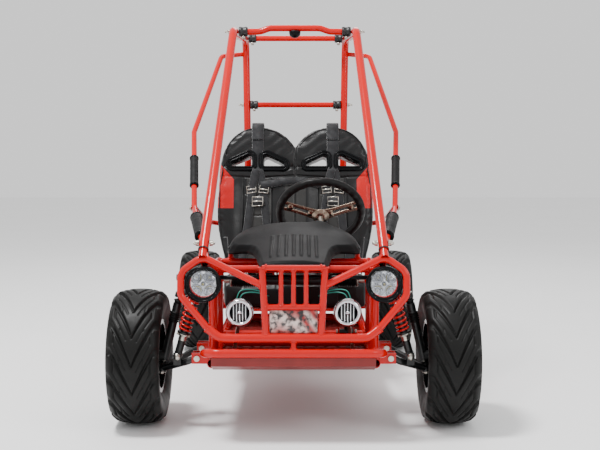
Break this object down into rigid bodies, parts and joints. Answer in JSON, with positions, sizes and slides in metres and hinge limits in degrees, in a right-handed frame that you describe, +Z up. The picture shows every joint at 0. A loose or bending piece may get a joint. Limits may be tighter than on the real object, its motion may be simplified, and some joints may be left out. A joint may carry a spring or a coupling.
{
  "type": "two-seat off-road kart",
  "caption": "Two-seat off-road kart with a tubular chassis, bolt-on roll cage, bucket seats, rack steering, double wishbones and a rear swing arm with engine.",
  "frame": {"origin": "on the ground, in the middle of the overall length and width", "axes": "+X to the driver's left, +Y to the rear, +Z up"},
  "size_m": [1.0814, 1.72, 1.2805],
  "materials": {
    "frame_paint": "glossy red powder coat on steel tube",
    "black_paint": "satin black paint on steel",
    "tread_rubber": "matte black natural rubber with moulded blocks",
    "rim_paint": "gloss black enamel on pressed steel",
    "seat_vinyl": "grained vinyl, black with red side panels",
    "belt_webbing": "woven polyester webbing",
    "foam_rubber": "closed-cell nitrile foam",
    "moulded_plastic": "textured black polypropylene",
    "bezel_plastic": "polished black ABS",
    "lamp_chrome": "bright chrome plate",
    "zinc_steel": "zinc-plated steel",
    "spring_paint": "red enamel on spring steel",
    "spoke_aluminium": "brushed and anodised aluminium",
    "engine_aluminium": "die-cast aluminium",
    "grip_foam": "moulded black foam grip",
    "bellows_rubber": "black moulded rubber",
    "pan_paint": "dark red paint on sheet steel"
  },
  "bodies": {
    "chassis": {"main_frame": "frame_paint", "floor_pan": "pan_paint", "front_bumper": "frame_paint", "side_hoops": "frame_paint", "roof_crossbars": "frame_paint", "cage_clamps": "foam_rubber", "side_guards": "frame_paint", "guard_pads": "foam_rubber", "seat_back": "seat_vinyl", "seat_base": "seat_vinyl", "headrest_bezels": "bezel_plastic", "seat_belts": "belt_webbing", "nose_cover": "moulded_plastic", "headlamps": "bezel_plastic", "horns": "lamp_chrome", "rack_housing": "black_paint", "rack_bellows": "bellows_rubber", "frame_bolts": "zinc_steel"},
    "steering_wheel": {"steering_wheel_rim": "grip_foam", "steering_wheel_spokes": "spoke_aluminium", "steering_column": "zinc_steel"},
    "lower_shaft": {"steering_lower_shaft": "zinc_steel"},
    "rack": {"steering_rack": "zinc_steel"},
    "lower_arm_left": {"lower_arm_left": "black_paint"},
    "ball_joint_left": {"lower_ball_joint_left": "zinc_steel"},
    "knuckle_left": {"knuckle_left": "black_paint"},
    "front_wheel_left": {"front_tyre_left": "tread_rubber", "front_rim_left": "rim_paint"},
    "upper_arm_left": {"upper_arm_left": "black_paint"},
    "damper_left": {"shock_damper_left": "black_paint", "shock_spring_left": "spring_paint"},
    "piston_rod_left": {"shock_rod_left": "lamp_chrome"},
    "tie_rod_left": {"tie_rod_left": "zinc_steel"},
    "lower_arm_right": {"lower_arm_right": "black_paint"},
    "ball_joint_right": {"lower_ball_joint_right": "zinc_steel"},
    "knuckle_right": {"knuckle_right": "black_paint"},
    "front_wheel_right": {"front_tyre_right": "tread_rubber", "front_rim_right": "rim_paint"},
    "upper_arm_right": {"upper_arm_right": "black_paint"},
    "damper_right": {"shock_damper_right": "black_paint", "shock_spring_right": "spring_paint"},
    "piston_rod_right": {"shock_rod_right": "lamp_chrome"},
    "tie_rod_right": {"tie_rod_right": "zinc_steel"},
    "swing_arm": {"swing_arm": "frame_paint", "engine_block": "engine_aluminium", "fuel_tank": "frame_paint", "muffler": "black_paint", "belt_cover": "moulded_plastic", "drive_chain": "zinc_steel", "brake_caliper": "black_paint"},
    "rear_axle": {"rear_axle": "zinc_steel", "drive_sprocket": "zinc_steel", "brake_disc": "zinc_steel", "rear_tyres": "tread_rubber", "rear_rims": "rim_paint"},
    "rear_dampers": {"rear_shock_dampers": "black_paint", "rear_springs": "spring_paint"},
    "rear_piston_rods": {"rear_shock_rods": "lamp_chrome"},
    "throttle_pedal": {"throttle_pedal": "black_paint"},
    "brake_pedal": {"brake_pedal": "black_paint"}
  },
  "joints": [
    {"name": "steering_wheel_turn", "type": "hinge", "parent": "chassis", "child": "steering_wheel", "pos_m": [0.089, -0.11, 0.609], "axis": [0, 0.766, 0.6428], "range_deg": [-80, 80]},
    {"name": "lower_shaft_turn", "type": "hinge", "parent": "chassis", "child": "lower_shaft", "pos_m": [0.089, -0.535, 0.4506], "axis": [0, 0.9991, 0.0424], "range_deg": [-80, 80]},
    {"name": "rack_slide", "type": "slide", "parent": "chassis", "child": "rack", "axis": [1, 0, 0], "range_m": [-0.021, 0.021]},
    {"name": "lower_arm_lift_left", "type": "hinge", "parent": "chassis", "child": "lower_arm_left", "pos_m": [0.285, -0.6, 0.214], "axis": [0, -1, 0], "range_deg": [0, 25], "stiffness_Nm_per_rad": 220, "springref_deg": -12.61, "deforming": ["shock_spring_left"]},
    {"name": "ball_joint_level_left", "type": "hinge", "parent": "lower_arm_left", "child": "ball_joint_left", "pos_m": [0.4, -0.6, 0.164], "axis": [0, -1, 0], "range_deg": [-25, 0]},
    {"name": "steer_left", "type": "hinge", "parent": "ball_joint_left", "child": "knuckle_left", "pos_m": [0.4, -0.6, 0.164], "axis": [-0.2385, 0, 0.9712], "range_deg": [-19.6, 19.6]},
    {"name": "front_wheel_spin_left", "type": "hinge", "parent": "knuckle_left", "child": "front_wheel_left", "pos_m": [0.464, -0.6, 0.203], "axis": [1, 0, 0], "continuous": true},
    {"name": "upper_arm_lift_left", "type": "hinge", "parent": "chassis", "child": "upper_arm_left", "pos_m": [0.23, -0.6, 0.438], "axis": [0, -1, 0], "range_deg": [0, 25]},
    {"name": "piston_rod_swing_left", "type": "hinge", "parent": "chassis", "child": "piston_rod_left", "pos_m": [0.285, -0.665, 0.428], "axis": [0, -1, 0], "range_deg": [0, 0.5]},
    {"name": "damper_swing_left", "type": "hinge", "parent": "lower_arm_left", "child": "damper_left", "pos_m": [0.345, -0.665, 0.216], "axis": [0, -1, 0], "range_deg": [-25, 0]},
    {"name": "tie_rod_lift_left", "type": "hinge", "parent": "rack", "child": "tie_rod_left", "pos_m": [0.233, -0.535, 0.426], "axis": [0, -1, 0], "range_deg": [0, 25]},
    {"name": "lower_arm_lift_right", "type": "hinge", "parent": "chassis", "child": "lower_arm_right", "pos_m": [-0.285, -0.6, 0.214], "axis": [0, 1, 0], "range_deg": [0, 25], "stiffness_Nm_per_rad": 220, "springref_deg": -12.61, "deforming": ["shock_spring_right"]},
    {"name": "ball_joint_level_right", "type": "hinge", "parent": "lower_arm_right", "child": "ball_joint_right", "pos_m": [-0.4, -0.6, 0.164], "axis": [0, 1, 0], "range_deg": [-25, 0]},
    {"name": "steer_right", "type": "hinge", "parent": "ball_joint_right", "child": "knuckle_right", "pos_m": [-0.4, -0.6, 0.164], "axis": [0.2385, 0, 0.9712], "range_deg": [-19.6, 19.6]},
    {"name": "front_wheel_spin_right", "type": "hinge", "parent": "knuckle_right", "child": "front_wheel_right", "pos_m": [-0.464, -0.6, 0.203], "axis": [1, 0, 0], "continuous": true},
    {"name": "upper_arm_lift_right", "type": "hinge", "parent": "chassis", "child": "upper_arm_right", "pos_m": [-0.23, -0.6, 0.438], "axis": [0, 1, 0], "range_deg": [0, 25]},
    {"name": "piston_rod_swing_right", "type": "hinge", "parent": "chassis", "child": "piston_rod_right", "pos_m": [-0.285, -0.665, 0.428], "axis": [0, 1, 0], "range_deg": [0, 0.5]},
    {"name": "damper_swing_right", "type": "hinge", "parent": "lower_arm_right", "child": "damper_right", "pos_m": [-0.345, -0.665, 0.216], "axis": [0, 1, 0], "range_deg": [-25, 0]},
    {"name": "tie_rod_lift_right", "type": "hinge", "parent": "rack", "child": "tie_rod_right", "pos_m": [-0.233, -0.535, 0.426], "axis": [0, 1, 0], "range_deg": [0, 25]},
    {"name": "swing_arm_lift", "type": "hinge", "parent": "chassis", "child": "swing_arm", "pos_m": [0, 0.33, 0.225], "axis": [1, 0, 0], "range_deg": [0, 10], "stiffness_Nm_per_rad": 700, "springref_deg": -14.32, "deforming": ["rear_springs"]},
    {"name": "rear_axle_spin", "type": "hinge", "parent": "swing_arm", "child": "rear_axle", "pos_m": [0, 0.6, 0.203], "axis": [1, 0, 0], "continuous": true},
    {"name": "rear_rod_swing", "type": "hinge", "parent": "chassis", "child": "rear_piston_rods", "pos_m": [0, 0.5, 0.59], "axis": [1, 0, 0], "range_deg": [-0.5, 0]},
    {"name": "rear_damper_swing", "type": "hinge", "parent": "swing_arm", "child": "rear_dampers", "pos_m": [0, 0.56, 0.262], "axis": [1, 0, 0], "range_deg": [-10.5, 0]},
    {"name": "throttle_press", "type": "hinge", "parent": "chassis", "child": "throttle_pedal", "pos_m": [0.165, -0.445, 0.248], "axis": [1, 0, 0], "range_deg": [0, 18], "stiffness_Nm_per_rad": 8, "springref_deg": -11.46},
    {"name": "brake_press", "type": "hinge", "parent": "chassis", "child": "brake_pedal", "pos_m": [0.04, -0.445, 0.248], "axis": [1, 0, 0], "range_deg": [0, 18], "stiffness_Nm_per_rad": 12, "springref_deg": -11.46}
  ],
  "couplings": [
    {"joint": "lower_shaft_turn", "follows": "steering_wheel_turn", "ratio": 1},
    {"joint": "rack_slide", "follows": "steering_wheel_turn", "m_per_rad": -0.015},
    {"joint": "ball_joint_level_left", "follows": "lower_arm_lift_left", "ratio": -1},
    {"joint": "upper_arm_lift_left", "follows": "lower_arm_lift_left", "ratio": 1},
    {"joint": "piston_rod_swing_left", "follows": "lower_arm_lift_left", "ratio": 0.0185},
    {"joint": "damper_swing_left", "follows": "lower_arm_lift_left", "ratio": -0.9815},
    {"joint": "tie_rod_lift_left", "follows": "lower_arm_lift_left", "ratio": 1},
    {"joint": "steer_left", "follows": "steering_wheel_turn", "ratio": 0.24221},
    {"joint": "ball_joint_level_right", "follows": "lower_arm_lift_right", "ratio": -1},
    {"joint": "upper_arm_lift_right", "follows": "lower_arm_lift_right", "ratio": 1},
    {"joint": "piston_rod_swing_right", "follows": "lower_arm_lift_right", "ratio": 0.0185},
    {"joint": "damper_swing_right", "follows": "lower_arm_lift_right", "ratio": -0.9815},
    {"joint": "tie_rod_lift_right", "follows": "lower_arm_lift_right", "ratio": 1},
    {"joint": "steer_right", "follows": "steering_wheel_turn", "ratio": 0.24221},
    {"joint": "rear_rod_swing", "follows": "swing_arm_lift", "ratio": -0.0395},
    {"joint": "rear_damper_swing", "follows": "swing_arm_lift", "ratio": -1.0395}
  ]
}
